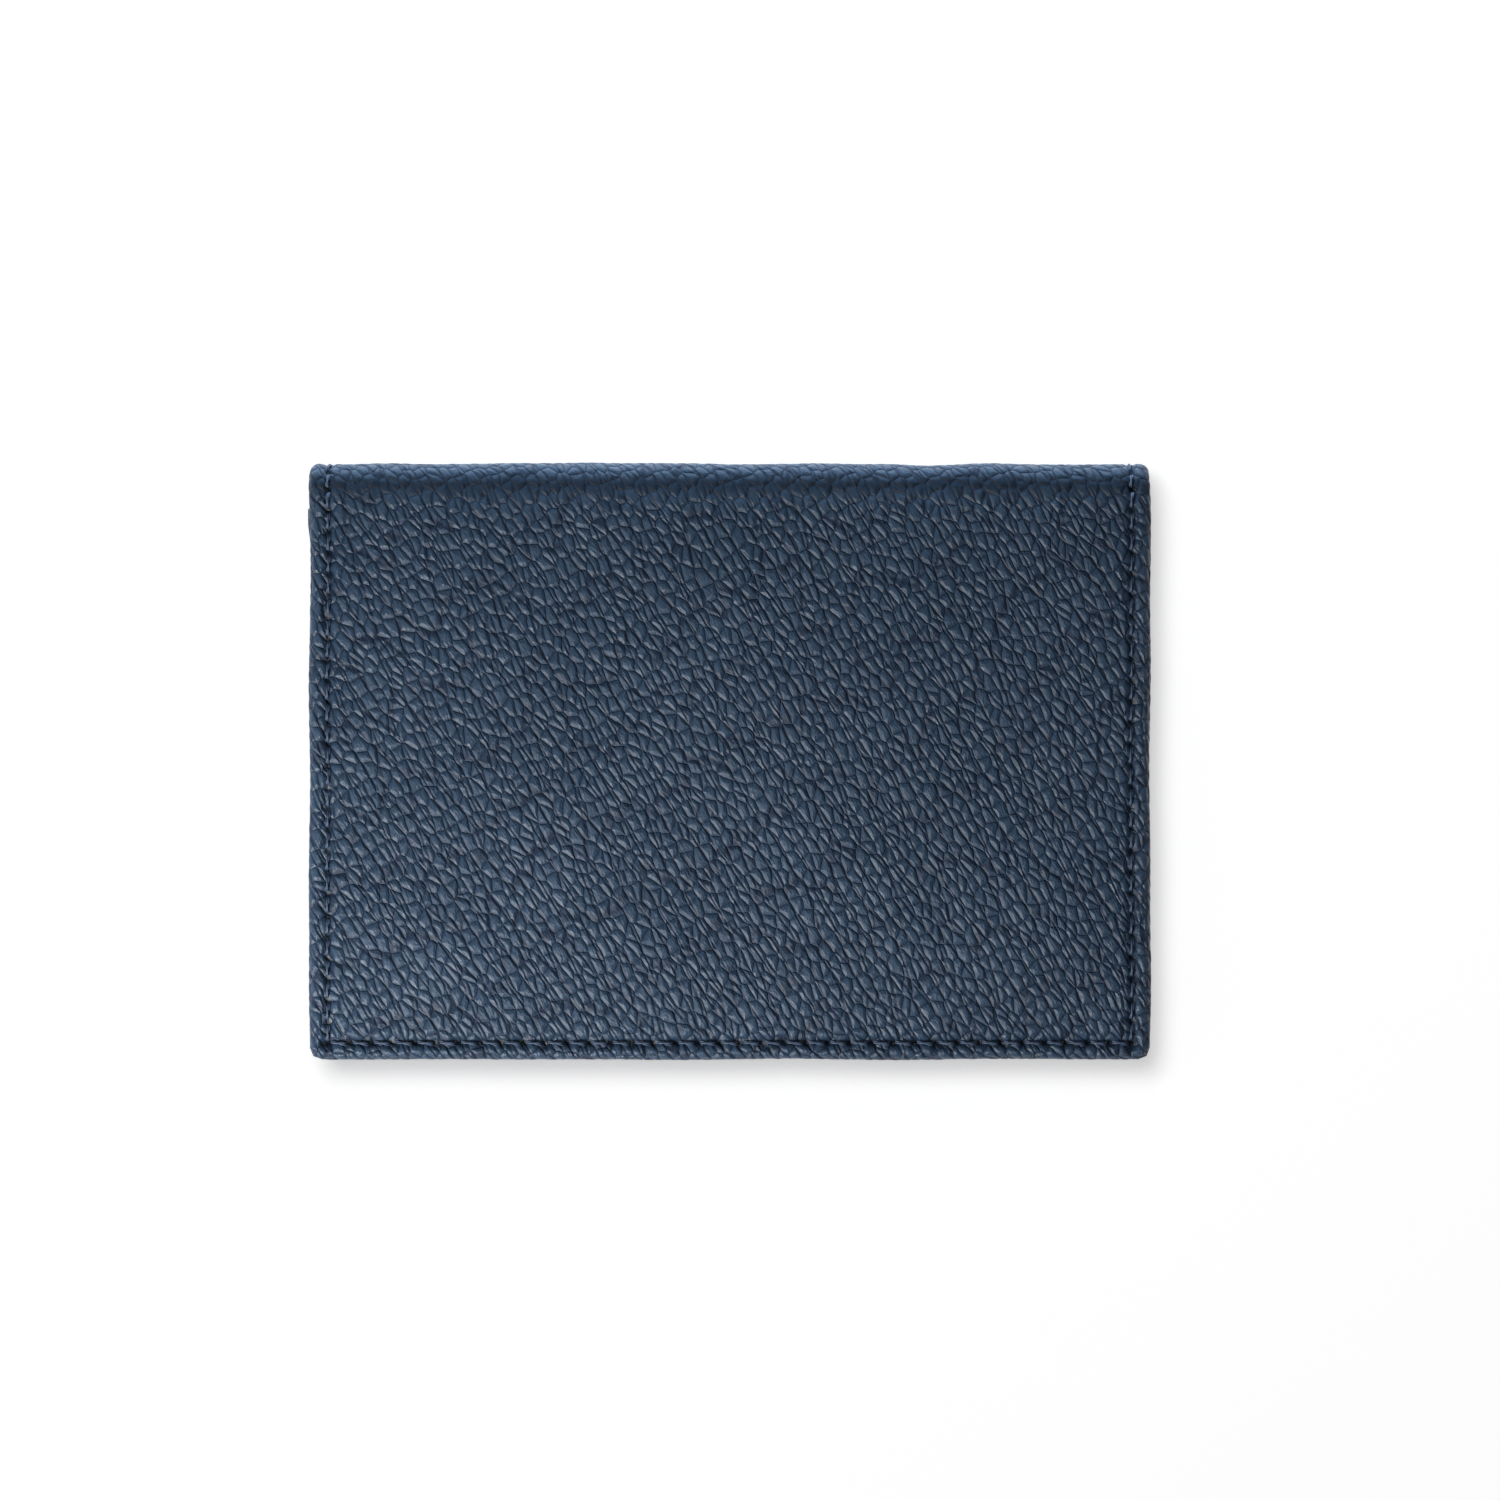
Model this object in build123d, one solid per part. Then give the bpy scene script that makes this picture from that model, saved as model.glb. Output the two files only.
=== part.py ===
from build123d import *

import os
from math import asin, cos, degrees, hypot, pi, radians, sin, sqrt

# Folding leather card holder: two stiffened halves joined along one long side by a soft fold.
#
# The back half carries a gusseted pocket for business cards, the front half two stepped card slots.
# The frame: +Z up, the closed case lying on its back half, X along the fold, the fold on the +Y side,
# origin at the centre of the underside. Lengths are in millimetres.

# ---- the outline ----
case_width = 105.0  # along X
case_depth = 74.5  # along Y, from the open edge to the outside of the fold
fold_radius = 4.0  # outside of the leather where it turns into the spine
corner_radius = 1.6  # of the two corners on the open edge, seen from above
edge_radius = 0.85  # of the turned leather edges

# ---- the thickness of each layer ----
cover_leather = 1.1
board_thickness = 0.7
turn_in_thickness = 0.5  # cover leather pared down where it is turned over the board
lining_thickness = 0.5
slot_leather = 0.7
gusset_leather = 0.6
pocket_leather = 0.9
pocket_liner_thickness = 0.3
pocket_gap = 4.4  # room in the pocket between the lining and the pocket panel
closing_gap = 0.5  # between the pocket and the card slots when the case is shut

# ---- widths and places of the inner pieces ----
turn_in_width = 5.0
inner_inset = 0.8  # the inner pieces stop this far inside the case's edge
lining_wall = 1.0  # width of the lining's step down from the turned edge to the board
lining_clearance = 0.1
gusset_width = 5.0
mouth_setback = 5.6  # from the outside of the fold to the mouth of the pocket
upper_slot_setback = 15.5  # from the outside of the fold to the mouth of the upper card slot
slot_step = 12.0  # from the upper slot's mouth to the lower slot's
notch_radius = 12.0
notch_rise = 2.5  # centre of the thumb notch above the mouth
notch_corner = 1.5
liner_margin = 1.5

# ---- sewing ----
seam_inset = 2.4  # from the left and right edges of the case
open_seam_inset = 2.1  # from the open edge
mouth_seam_inset = 2.0  # from the edge of a pocket or slot mouth
stitch_pitch = 2.75
stitch_gap = 0.85  # of each pitch, where the thread is down in its hole
thread_radius = 0.2
thin_thread_radius = 0.15
groove_side = 0.1  # room each side of the thread in its groove
thread_sink = 0.05  # the thread lies this far below the leather's face

# ---- how far the case opens ----
fold_opening = 90.0  # degrees at each of the fold's two hinge lines
pocket_opening = 5.0  # degrees that the pocket tilts as the case opens flat

# ---- derived heights, from the back of the case to the front ----
stiff_stack = cover_leather + board_thickness + turn_in_thickness
half_stack = stiff_stack + lining_thickness
floor_level = cover_leather + board_thickness + lining_thickness
panel_under = half_stack + pocket_gap
panel_top = panel_under + pocket_leather
slots_face = panel_top + closing_gap
upper_slot_face = slots_face + slot_leather
front_rim_face = upper_slot_face + slot_leather
case_thickness = front_rim_face + half_stack

# ---- derived places ----
half_width = case_width / 2
open_edge = -case_depth / 2
fold_outside = case_depth / 2
fold_line = fold_outside - fold_radius  # where the flat panels end and the leather starts to turn
inner_edge = open_edge + inner_inset
inner_half_width = half_width - inner_inset
seam_x = half_width - seam_inset
seam_y = open_edge + open_seam_inset
mouth_line = fold_outside - mouth_setback
upper_slot_line = fold_outside - upper_slot_setback
lower_slot_line = upper_slot_line - slot_step
mouth_seam_y = mouth_line - mouth_seam_inset
pocket_hinge_y = seam_y
pocket_hinge_z = panel_under

notch_centre = (0, mouth_line + notch_rise)
stiffener_depth = cover_leather + board_thickness
spine_flat = (fold_radius, case_thickness - fold_radius)  # heights between the fold's two turns

# The fold's two hinge lines, placed so that the leather keeps its length when the case lies open:
# the middle of the leather turns through a quarter circle of this radius at each of them.
bend_radius = fold_radius - cover_leather / 2
hinge_out = bend_radius * pi / 4
hinge_in = bend_radius - hinge_out
fold_hinge_y = fold_line + hinge_out
lower_hinge_z = cover_leather / 2 + hinge_in
upper_hinge_z = case_thickness - lower_hinge_z


# ---- small helpers ----
def block(x_range, y_range, z_range):
    """A box between two values on each axis."""
    sizes = [high - low for low, high in (x_range, y_range, z_range)]
    middle = [(high + low) / 2 for low, high in (x_range, y_range, z_range)]
    return Pos(*middle) * Box(*sizes)


def both_sides(reach):
    return (-reach, reach)


def to_front(shape):
    """Turns a piece of the back half into the matching piece of the front half."""
    return shape.mirror(Plane.XY.offset(case_thickness / 2))


def round_open_corners(shape, radius):
    """Rounds the two upright edges nearest the open edge of the case."""
    return fillet(shape.edges().filter_by(Axis.Z).group_by(Axis.Y)[0], radius)


def sheet(y_range, z_range, reach=inner_half_width):
    """A flat inner piece that reaches the open edge, with its two corners rounded."""
    flat = block(both_sides(reach), y_range, z_range)
    return round_open_corners(flat, corner_radius - inner_inset / 2)


def wrap_block(depth, x_range):
    """Everything behind the fold line that lies deeper than depth below the outside of the spine."""
    z_range = (depth, case_thickness - depth)
    filled = block(x_range, (fold_line - fold_radius, fold_outside - depth), z_range)
    far_edges = filled.edges().filter_by(Axis.X).group_by(Axis.Y)[-1]
    rounded = fillet(far_edges, fold_radius - depth)
    return rounded & block(x_range, (fold_line, fold_outside), z_range)


def wrap_layer(outer_depth, inner_depth, x_range):
    """A layer of the spine between two depths: a quarter turn, the flat, a quarter turn."""
    return wrap_block(outer_depth, x_range) - wrap_block(inner_depth, x_range)


def between(shape, z_range):
    """The part of a spine layer between two heights."""
    return shape & block(both_sides(half_width), (fold_line, fold_outside), z_range)


# ---- stitches ----
def seam_places(start, end):
    """Middles and direction of the stitches along a straight seam, evenly spaced near the pitch."""
    length = hypot(end[0] - start[0], end[1] - start[1])
    count = max(1, round(length / stitch_pitch))
    along = ((end[0] - start[0]) / length, (end[1] - start[1]) / length)
    step = length / count
    reached = [step * (i + 0.5) for i in range(count)]
    return [(start[0] + along[0] * r, start[1] + along[1] * r, along) for r in reached]


def arc_places(centre, radius, from_degrees, to_degrees):
    """Middles and directions of the stitches along an arc."""
    count = max(1, round(radians(to_degrees - from_degrees) * radius / stitch_pitch))
    step = (to_degrees - from_degrees) / count
    turns = [radians(from_degrees + step * (i + 0.5)) for i in range(count)]
    return [(centre[0] + radius * cos(t), centre[1] + radius * sin(t), (-sin(t), cos(t))) for t in turns]


def stitches(places, z, radius=thread_radius):
    """One short length of thread at each place, lying flat with its axis at height z."""
    bars = []
    for x, y, along in places:
        lie = Plane(origin=(x, y, z), z_dir=(along[0], along[1], 0))
        bars.append(lie * Cylinder(radius, stitch_pitch - stitch_gap))
    return bars


def straight_groove(start, end, face_z, into, radius=thread_radius):
    """The channel that a straight seam lies in, cut from a face at face_z towards into (+1 up, -1 down)."""
    side = radius + groove_side
    x_range = (min(start[0], end[0]) - side, max(start[0], end[0]) + side)
    y_range = (min(start[1], end[1]) - side, max(start[1], end[1]) + side)
    floor = face_z + into * groove_depth(radius)
    return block(x_range, y_range, (min(face_z, floor), max(face_z, floor)))


def groove_depth(radius):
    return 2 * radius + thread_sink


def thread_z(face_z, into, radius=thread_radius):
    """Height of a thread that lies on the floor of its groove."""
    return face_z + into * (groove_depth(radius) - radius)


def side_seams(y_from, y_to):
    return [((side * seam_x, y_from), (side * seam_x, y_to)) for side in (-1, 1)]


def perimeter_seams(y_to):
    """Both sides and the open edge, as start and end points."""
    return [*side_seams(seam_y, y_to), ((-seam_x, seam_y), (seam_x, seam_y))]


def sew(seams, face_z, into, radius=thread_radius):
    """(grooves, stitches) for straight seams on one flat face."""
    grooves = [straight_groove(a, b, face_z, into, radius) for a, b in seams]
    z = thread_z(face_z, into, radius)
    bars = [bar for a, b in seams for bar in stitches(seam_places(a, b), z, radius)]
    return grooves, bars


def cut(shape, grooves):
    for groove in grooves:
        shape = shape - groove
    return shape


# ---- the outer cover ----
def cover_panel():
    """Back panel of the cover: leather turned over the board on three sides."""
    leather = block(both_sides(half_width), (open_edge, fold_line), (0, stiff_stack))
    leather = round_open_corners(leather, corner_radius)
    rims = [
        edge
        for edge in leather.edges()
        if edge.bounding_box().size.Z < 0.01 and edge.center().Y < fold_line - 0.01
    ]
    leather = fillet(rims, edge_radius)
    board_room = block(
        both_sides(half_width - cover_leather),
        (open_edge + cover_leather, fold_line),
        (cover_leather, cover_leather + board_thickness),
    )
    window_reach = half_width - cover_leather - turn_in_width
    window = block(
        both_sides(window_reach),
        (open_edge + cover_leather + turn_in_width, fold_line),
        (cover_leather + board_thickness, stiff_stack),
    )
    return leather - board_room - window


def board():
    """Stiffener inside one half."""
    return block(
        both_sides(half_width - cover_leather),
        (open_edge + cover_leather, fold_line),
        (cover_leather, cover_leather + board_thickness),
    )


def lining():
    """Lining of the back half: it lies on the turned edges and steps down on to the board."""
    reach = half_width - cover_leather - turn_in_width - lining_clearance
    near = open_edge + cover_leather + turn_in_width + lining_clearance
    rim = sheet((inner_edge, fold_line), (stiff_stack, half_stack))
    step = block(both_sides(reach), (near, fold_line), (cover_leather + board_thickness, half_stack))
    hollow = block(
        both_sides(reach - lining_wall),
        (near + lining_wall, fold_line),
        (floor_level, half_stack),
    )
    return rim + step - hollow


def spine_stiffener():
    """Strip of board behind the flat of the spine."""
    layer = wrap_layer(cover_leather, stiffener_depth, both_sides(half_width - cover_leather))
    return between(layer, spine_flat)


# ---- the gusseted pocket ----
def gusset_section():
    """Section of a gusset: two legs from its open side, joined by a half-round fold."""
    outer_r = pocket_gap / 2
    inner_r = outer_r - gusset_leather
    leg = gusset_width - outer_r
    outside = Pos(leg / 2, outer_r) * Rectangle(leg, 2 * outer_r) + Pos(leg, outer_r) * Circle(outer_r)
    inside = Pos(leg / 2, outer_r) * Rectangle(leg, 2 * inner_r) + Pos(leg, outer_r) * Circle(inner_r)
    return outside - inside


def gusset_mitre():
    """The part of the pocket's outline that the gusset along the open edge takes, cut at 45 degrees."""
    far_reach = inner_half_width - gusset_width
    far_y = inner_edge + gusset_width
    corners = [
        (-inner_half_width, inner_edge),
        (inner_half_width, inner_edge),
        (far_reach, far_y),
        (-far_reach, far_y),
    ]
    outline = Pos(0, 0, half_stack) * make_face(Polyline(*corners, close=True))
    return extrude(outline, amount=pocket_gap, dir=(0, 0, 1))


def pocket_outline():
    return sheet((inner_edge, mouth_line), (half_stack, panel_under))


def gusset_bottom():
    """Gusset along the open edge of the case, folded inwards."""
    place = Plane(origin=(-inner_half_width, inner_edge, half_stack), x_dir=(0, 1, 0), z_dir=(1, 0, 0))
    strip = extrude(place * gusset_section(), amount=2 * inner_half_width)
    return strip & gusset_mitre() & pocket_outline()


def gusset_right():
    """Gusset along the right side, folded inwards."""
    place = Plane(origin=(inner_half_width, inner_edge, half_stack), x_dir=(-1, 0, 0), z_dir=(0, 1, 0))
    strip = extrude(place * gusset_section(), amount=mouth_line - inner_edge)
    return (strip - gusset_mitre()) & pocket_outline()


def thumb_notch(radius, z_range):
    """What a notch of this radius removes from the mouth of the pocket."""
    middle_z = (z_range[0] + z_range[1]) / 2
    return Pos(*notch_centre, middle_z) * Cylinder(radius, z_range[1] - z_range[0])


def pocket_panel():
    """Leather front of the pocket, with the thumb notch."""
    z_range = (panel_under, panel_top)
    panel = sheet((inner_edge, mouth_line), z_range) - thumb_notch(notch_radius, z_range)
    notch_edges = [
        edge
        for edge in panel.edges().filter_by(Axis.Z)
        if edge.center().Y > mouth_seam_y and abs(edge.center().X) < notch_radius
    ]
    return fillet(notch_edges, notch_corner)


def pocket_liner():
    """Fabric on the inside of the pocket panel, between the gussets."""
    z_range = (panel_under - pocket_liner_thickness, panel_under)
    reach = inner_half_width - gusset_width - liner_margin
    y_range = (inner_edge + gusset_width + liner_margin, mouth_line - liner_margin)
    return block(both_sides(reach), y_range, z_range) - thumb_notch(notch_radius + liner_margin, z_range)


# ---- the card slots ----
def slot_panel(mouth, face_z):
    """Full-height leather panel of one card slot, facing the pocket."""
    return sheet((inner_edge, mouth), (face_z, face_z + slot_leather))


# ---- the spine's thread ----
def turned_stitches(x, centre_z, from_degrees):
    """Curved stitches on one quarter turn of the fold, whose middle line is at centre_z."""
    reach = fold_radius - groove_depth(thread_radius) + thread_radius
    count = max(1, round(reach * pi / 2 / stitch_pitch))
    step = 90 / count
    gap = degrees(stitch_gap / reach)
    bars = []
    for i in range(count):
        start = radians(from_degrees + step * i + gap / 2)
        middle = (x, fold_line + reach * cos(start), centre_z + reach * sin(start))
        section = Plane(origin=middle, z_dir=(0, -sin(start), cos(start))) * Circle(thread_radius)
        turn_axis = Axis((x, fold_line, centre_z), (1, 0, 0))
        bars.append(revolve(section, axis=turn_axis, revolution_arc=step - gap))
    return bars


def upright_stitches(x):
    """Stitches on the flat of the spine."""
    y = fold_outside - groove_depth(thread_radius) + thread_radius
    height = case_thickness - 2 * fold_radius
    count = max(1, round(height / stitch_pitch))
    step = height / count
    length = step - stitch_gap
    return [Pos(x, y, fold_radius + step * (i + 0.5)) * Cylinder(thread_radius, length) for i in range(count)]


def spine_stitches():
    bars = []
    for x in (-seam_x, seam_x):
        bars += turned_stitches(x, fold_radius, -90)
        bars += upright_stitches(x)
        bars += turned_stitches(x, case_thickness - fold_radius, 0)
    return bars


def spine_grooves():
    side = thread_radius + groove_side
    return [wrap_layer(0, groove_depth(thread_radius), (x - side, x + side)) for x in (-seam_x, seam_x)]


# ---- the seams and the grooves they lie in ----
def notch_seam():
    """(grooves, stitches) along the mouth of the pocket, round the thumb notch."""
    radius = notch_radius + mouth_seam_inset
    drop = notch_rise + mouth_seam_inset
    meet_x = sqrt(radius**2 - drop**2)
    turn = degrees(asin(drop / radius))
    left = ((-seam_x, mouth_seam_y), (-meet_x, mouth_seam_y))
    right = ((meet_x, mouth_seam_y), (seam_x, mouth_seam_y))
    grooves, bars = sew([left, right], panel_top, -1)
    bars += stitches(arc_places(notch_centre, radius, 180 + turn, 360 - turn), thread_z(panel_top, -1))
    bow = (stitch_pitch - stitch_gap) ** 2 / (8 * radius)
    side = thread_radius + groove_side + bow
    z_range = (panel_top - groove_depth(thread_radius), panel_top)
    ring = thumb_notch(radius + side, z_range) - thumb_notch(radius - side, z_range)
    below_mouth_seam = block(both_sides(meet_x + side), (0, mouth_seam_y), z_range)
    return grooves + [ring & below_mouth_seam], bars


def mouth_seam(y):
    return [((-seam_x, y), (seam_x, y))]


thin = thin_thread_radius
lower_slot_seam_y = lower_slot_line - mouth_seam_inset
upper_slot_seam_y = upper_slot_line - mouth_seam_inset
cover_grooves, cover_bars = sew(perimeter_seams(fold_line), 0, 1)
leg_grooves, leg_bars = sew(perimeter_seams(mouth_line), half_stack + gusset_leather, -1, thin)
panel_grooves, panel_bars = sew(perimeter_seams(mouth_seam_y), panel_top, -1)
notch_grooves, notch_bars = notch_seam()
lower_slot_grooves, lower_slot_bars = sew(perimeter_seams(lower_slot_seam_y), slots_face, 1, thin)
lower_mouth_grooves, lower_mouth_bars = sew(mouth_seam(lower_slot_seam_y), slots_face, 1, thin)
upper_slot_grooves, upper_slot_bars = sew(
    side_seams(lower_slot_line, upper_slot_seam_y), upper_slot_face, 1, thin
)
upper_mouth_grooves, upper_mouth_bars = sew(mouth_seam(upper_slot_seam_y), upper_slot_face, 1, thin)
rim_grooves, rim_bars = sew(side_seams(upper_slot_line, fold_line), front_rim_face, 1, thin)

# ---- every piece ----
back_cover = cut(cover_panel(), cover_grooves)
whole_width = both_sides(half_width)
wrapped_cover = cut(wrap_layer(0, cover_leather, whole_width), spine_grooves())
right_gusset = cut(gusset_right(), leg_grooves)

pieces = {
    # back half
    "cover_back_panel": back_cover,
    "back_board": board(),
    "back_lining": lining(),
    "gusset_bottom": cut(gusset_bottom(), leg_grooves),
    "gusset_left": right_gusset.mirror(Plane.YZ),
    "gusset_right": right_gusset,
    "back_seam_thread": Compound(cover_bars + leg_bars),
    # front of the pocket
    "pocket_panel": cut(pocket_panel(), panel_grooves + notch_grooves),
    "pocket_liner": pocket_liner(),
    "pocket_seam_thread": Compound(panel_bars),
    "pocket_mouth_thread": Compound(notch_bars),
    # spine
    "cover_fold_lower": between(wrapped_cover, (0, fold_radius)),
    "cover_spine_panel": between(wrapped_cover, spine_flat),
    "cover_fold_upper": between(wrapped_cover, (case_thickness - fold_radius, case_thickness)),
    "spine_stiffener": spine_stiffener(),
    "spine_lining": wrap_layer(stiffener_depth, floor_level, both_sides(inner_half_width)),
    "spine_thread": Compound(spine_stitches()),
    # front half
    "cover_front_panel": to_front(back_cover),
    "front_board": to_front(board()),
    "front_lining": cut(to_front(lining()), rim_grooves),
    "slot_panel_upper": cut(
        slot_panel(upper_slot_line, upper_slot_face), upper_slot_grooves + upper_mouth_grooves
    ),
    "slot_panel_lower": cut(
        slot_panel(lower_slot_line, slots_face), lower_slot_grooves + lower_mouth_grooves
    ),
    "front_seam_thread": Compound(
        [to_front(bar) for bar in cover_bars] + lower_slot_bars + upper_slot_bars + rim_bars
    ),
    "slot_mouth_thread": Compound(lower_mouth_bars + upper_mouth_bars),
}

os.makedirs("parts", exist_ok=True)
for name, shape in pieces.items():
    export_step(shape, f"parts/{name}.step")

print("closed case", case_width, case_depth, round(case_thickness, 4))
print("fold hinges y", round(fold_hinge_y, 4), "z", round(lower_hinge_z, 4), round(upper_hinge_z, 4))
print("pocket hinge y", round(pocket_hinge_y, 4), "z", round(pocket_hinge_z, 4))
print("opens", fold_opening, "degrees at each fold line, pocket", pocket_opening)
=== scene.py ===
from math import atan2, ceil, cos, exp, pi, radians, sin, sqrt

import bmesh
import bpy
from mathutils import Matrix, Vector, noise


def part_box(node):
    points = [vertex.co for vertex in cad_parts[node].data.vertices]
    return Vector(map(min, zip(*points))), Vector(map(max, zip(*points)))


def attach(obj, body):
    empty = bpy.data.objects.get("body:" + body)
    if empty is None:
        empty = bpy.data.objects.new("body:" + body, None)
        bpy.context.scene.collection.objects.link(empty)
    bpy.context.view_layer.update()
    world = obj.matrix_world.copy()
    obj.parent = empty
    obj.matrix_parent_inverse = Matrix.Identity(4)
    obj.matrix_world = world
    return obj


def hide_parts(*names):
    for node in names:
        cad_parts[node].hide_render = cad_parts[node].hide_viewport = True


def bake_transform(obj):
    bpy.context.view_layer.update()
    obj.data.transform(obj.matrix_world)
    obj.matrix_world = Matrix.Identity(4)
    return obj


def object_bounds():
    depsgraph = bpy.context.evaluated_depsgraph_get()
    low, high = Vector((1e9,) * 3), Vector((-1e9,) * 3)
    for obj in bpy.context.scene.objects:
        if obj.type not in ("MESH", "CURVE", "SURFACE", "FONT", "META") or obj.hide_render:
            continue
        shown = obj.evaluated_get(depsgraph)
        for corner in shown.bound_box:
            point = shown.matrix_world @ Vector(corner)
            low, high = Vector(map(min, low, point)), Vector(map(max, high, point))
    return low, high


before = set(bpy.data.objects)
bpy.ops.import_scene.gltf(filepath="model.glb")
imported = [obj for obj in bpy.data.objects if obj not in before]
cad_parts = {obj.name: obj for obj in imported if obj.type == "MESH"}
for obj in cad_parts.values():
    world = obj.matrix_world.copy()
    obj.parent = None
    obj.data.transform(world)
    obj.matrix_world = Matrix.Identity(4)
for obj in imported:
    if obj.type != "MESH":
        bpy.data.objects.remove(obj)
cadLow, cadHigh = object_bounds()
print("frame loaded")

mm = 0.001

backLow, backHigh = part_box("cover_back_panel")
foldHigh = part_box("cover_fold_lower")[1]
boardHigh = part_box("back_board")[1]
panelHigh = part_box("pocket_panel")[1]
gussetLow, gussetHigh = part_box("gusset_bottom")
upperSlotLow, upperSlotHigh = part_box("slot_panel_upper")
lowerSlotLow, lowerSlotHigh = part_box("slot_panel_lower")

halfWidth = backHigh[0]
openEdge = backLow[1]
foldLine = backHigh[1]
foldRadius = foldHigh[1] - foldLine
caseHeight = cadHigh[2]
coverDepth = backHigh[2]  # leather, board and turned edge together
lidDepth = boardHigh[2] - 0.05 * mm  # the cover is closed inside the board, below the linings
flatLength = foldLine - openEdge
quarterTurn = foldRadius * pi / 2
spineFlat = caseHeight - 2 * foldRadius
sheetLength = 2 * (flatLength + quarterTurn) + spineFlat
midSheet = sheetLength / 2


def wander(u, s, size, seed):
    return noise.noise(Vector((u / size, s / size, seed)))


def waves(u, s, layers):
    # each layer is (size, seed, strength)
    return sum(strength * wander(u, s, size, seed) for size, seed, strength in layers)


def smooth(t):
    t = min(1, max(0, t))
    return t * t * (3 - 2 * t)


def bell(t):
    return exp(-(t ** 2))


def sideOf(x):
    return 1 if x > 0 else -1


def everything(bm):
    return bm.verts[:] + bm.edges[:] + bm.faces[:]


def meshPiece(name, bm, material):
    mesh = bpy.data.meshes.new(name)
    bm.to_mesh(mesh)
    bm.free()
    piece = bpy.data.objects.new(name, mesh)
    bpy.context.scene.collection.objects.link(piece)
    mesh.materials.append(material)
    for face in mesh.polygons:
        face.use_smooth = True
    return piece


def addNode(tree, kind, **settings):
    node = tree.nodes.new(kind)
    for key, value in settings.items():
        setattr(node, key, value)
    return node


def addMath(tree, operation, a, b=None):
    node = addNode(tree, "ShaderNodeMath", operation=operation)
    for socket, value in ((0, a), (1, b)):
        if value is None:
            continue
        if isinstance(value, (int, float)):
            node.inputs[socket].default_value = value
        else:
            tree.links.new(value, node.inputs[socket])
    return node.outputs[0]


def addRange(tree, value, low, high, toLow=0.0, toHigh=1.0):
    node = addNode(tree, "ShaderNodeMapRange", interpolation_type="SMOOTHSTEP")
    tree.links.new(value, node.inputs["Value"])
    node.inputs["From Min"].default_value = low
    node.inputs["From Max"].default_value = high
    node.inputs["To Min"].default_value = toLow
    node.inputs["To Max"].default_value = toHigh
    return node.outputs["Result"]


def addNoise(tree, coord, scale, detail=2.0, roughness=0.5):
    node = addNode(tree, "ShaderNodeTexNoise")
    node.inputs["Scale"].default_value = scale
    node.inputs["Detail"].default_value = detail
    node.inputs["Roughness"].default_value = roughness
    tree.links.new(coord, node.inputs["Vector"])
    return node


def addCellEdges(tree, coord, scale, randomness=1.0, dimensions="2D"):
    # distance from the lines between cells
    node = addNode(
        tree, "ShaderNodeTexVoronoi", feature="DISTANCE_TO_EDGE", voronoi_dimensions=dimensions
    )
    node.inputs["Scale"].default_value = scale
    node.inputs["Randomness"].default_value = randomness
    tree.links.new(coord, node.inputs["Vector"])
    return node.outputs["Distance"]


def stretched(tree, coord, angle, scale):
    turn = addNode(tree, "ShaderNodeVectorRotate", rotation_type="Z_AXIS")
    turn.inputs["Angle"].default_value = angle
    tree.links.new(coord, turn.inputs["Vector"])
    size = addNode(tree, "ShaderNodeVectorMath", operation="MULTIPLY")
    size.inputs[1].default_value = scale
    tree.links.new(turn.outputs[0], size.inputs[0])
    return size.outputs[0]


def warped(tree, coord, scale, amount):
    cloud = addNoise(tree, coord, scale, 2.0)
    centre = addNode(tree, "ShaderNodeVectorMath", operation="SUBTRACT")
    tree.links.new(cloud.outputs["Color"], centre.inputs[0])
    centre.inputs[1].default_value = (0.5, 0.5, 0.5)
    size = addNode(tree, "ShaderNodeVectorMath", operation="SCALE")
    tree.links.new(centre.outputs[0], size.inputs[0])
    size.inputs["Scale"].default_value = amount
    total = addNode(tree, "ShaderNodeVectorMath", operation="ADD")
    tree.links.new(coord, total.inputs[0])
    tree.links.new(size.outputs[0], total.inputs[1])
    return total.outputs[0]


grain = {
    "lean": radians(-60),  # the way the creases run
    "pebble": 1 / (1.38 * mm),
    "pebbleStretch": (0.70, 1.10, 1),
    "pebbleDisorder": 0.78,
    "crease": 1 / (2.1 * mm),  # long creases that join several pebbles
    "creaseStretch": (0.24, 1.0, 1),
    "creaseDisorder": 0.9,
    "warpScale": 480,
    "warp": 0.48 * mm,
    "domeWidth": 0.34,  # these three widths are parts of a cell
    "grooveWidth": 0.11,
    "creaseWidth": 0.12,
    "domeHeight": 0.46,  # and these three are parts of the bump
    "grooveHeight": 0.26,
    "creaseHeight": 0.34,
    "bump": 0.27 * mm,
    "relief": 0.06 * mm,  # the part of the grain that is in the mesh
    "reliefLevel": 0.75,  # the part of a dome that stays at the sheet's own height
}


def addGrain(tree, coord):
    # returns (height, creases, domes): 0 in the lines and 1 on the plateaus
    bent = warped(tree, coord, grain["warpScale"], grain["warp"])
    pebbleCoord = stretched(tree, bent, grain["lean"], grain["pebbleStretch"])
    pebbleEdge = addCellEdges(tree, pebbleCoord, grain["pebble"], grain["pebbleDisorder"])
    creaseCoord = stretched(tree, bent, grain["lean"], grain["creaseStretch"])
    creaseEdge = addCellEdges(tree, creaseCoord, grain["crease"], grain["creaseDisorder"])
    domes = addRange(tree, pebbleEdge, 0.0, grain["domeWidth"])
    grooves = addRange(tree, pebbleEdge, 0.0, grain["grooveWidth"])
    longLines = addRange(tree, creaseEdge, 0.0, grain["creaseWidth"])
    height = addMath(tree, "MULTIPLY", domes, grain["domeHeight"])
    for part, share in ((grooves, grain["grooveHeight"]), (longLines, grain["creaseHeight"])):
        height = addMath(tree, "ADD", height, addMath(tree, "MULTIPLY", part, share))
    return height, addMath(tree, "MULTIPLY", grooves, longLines), domes


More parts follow.
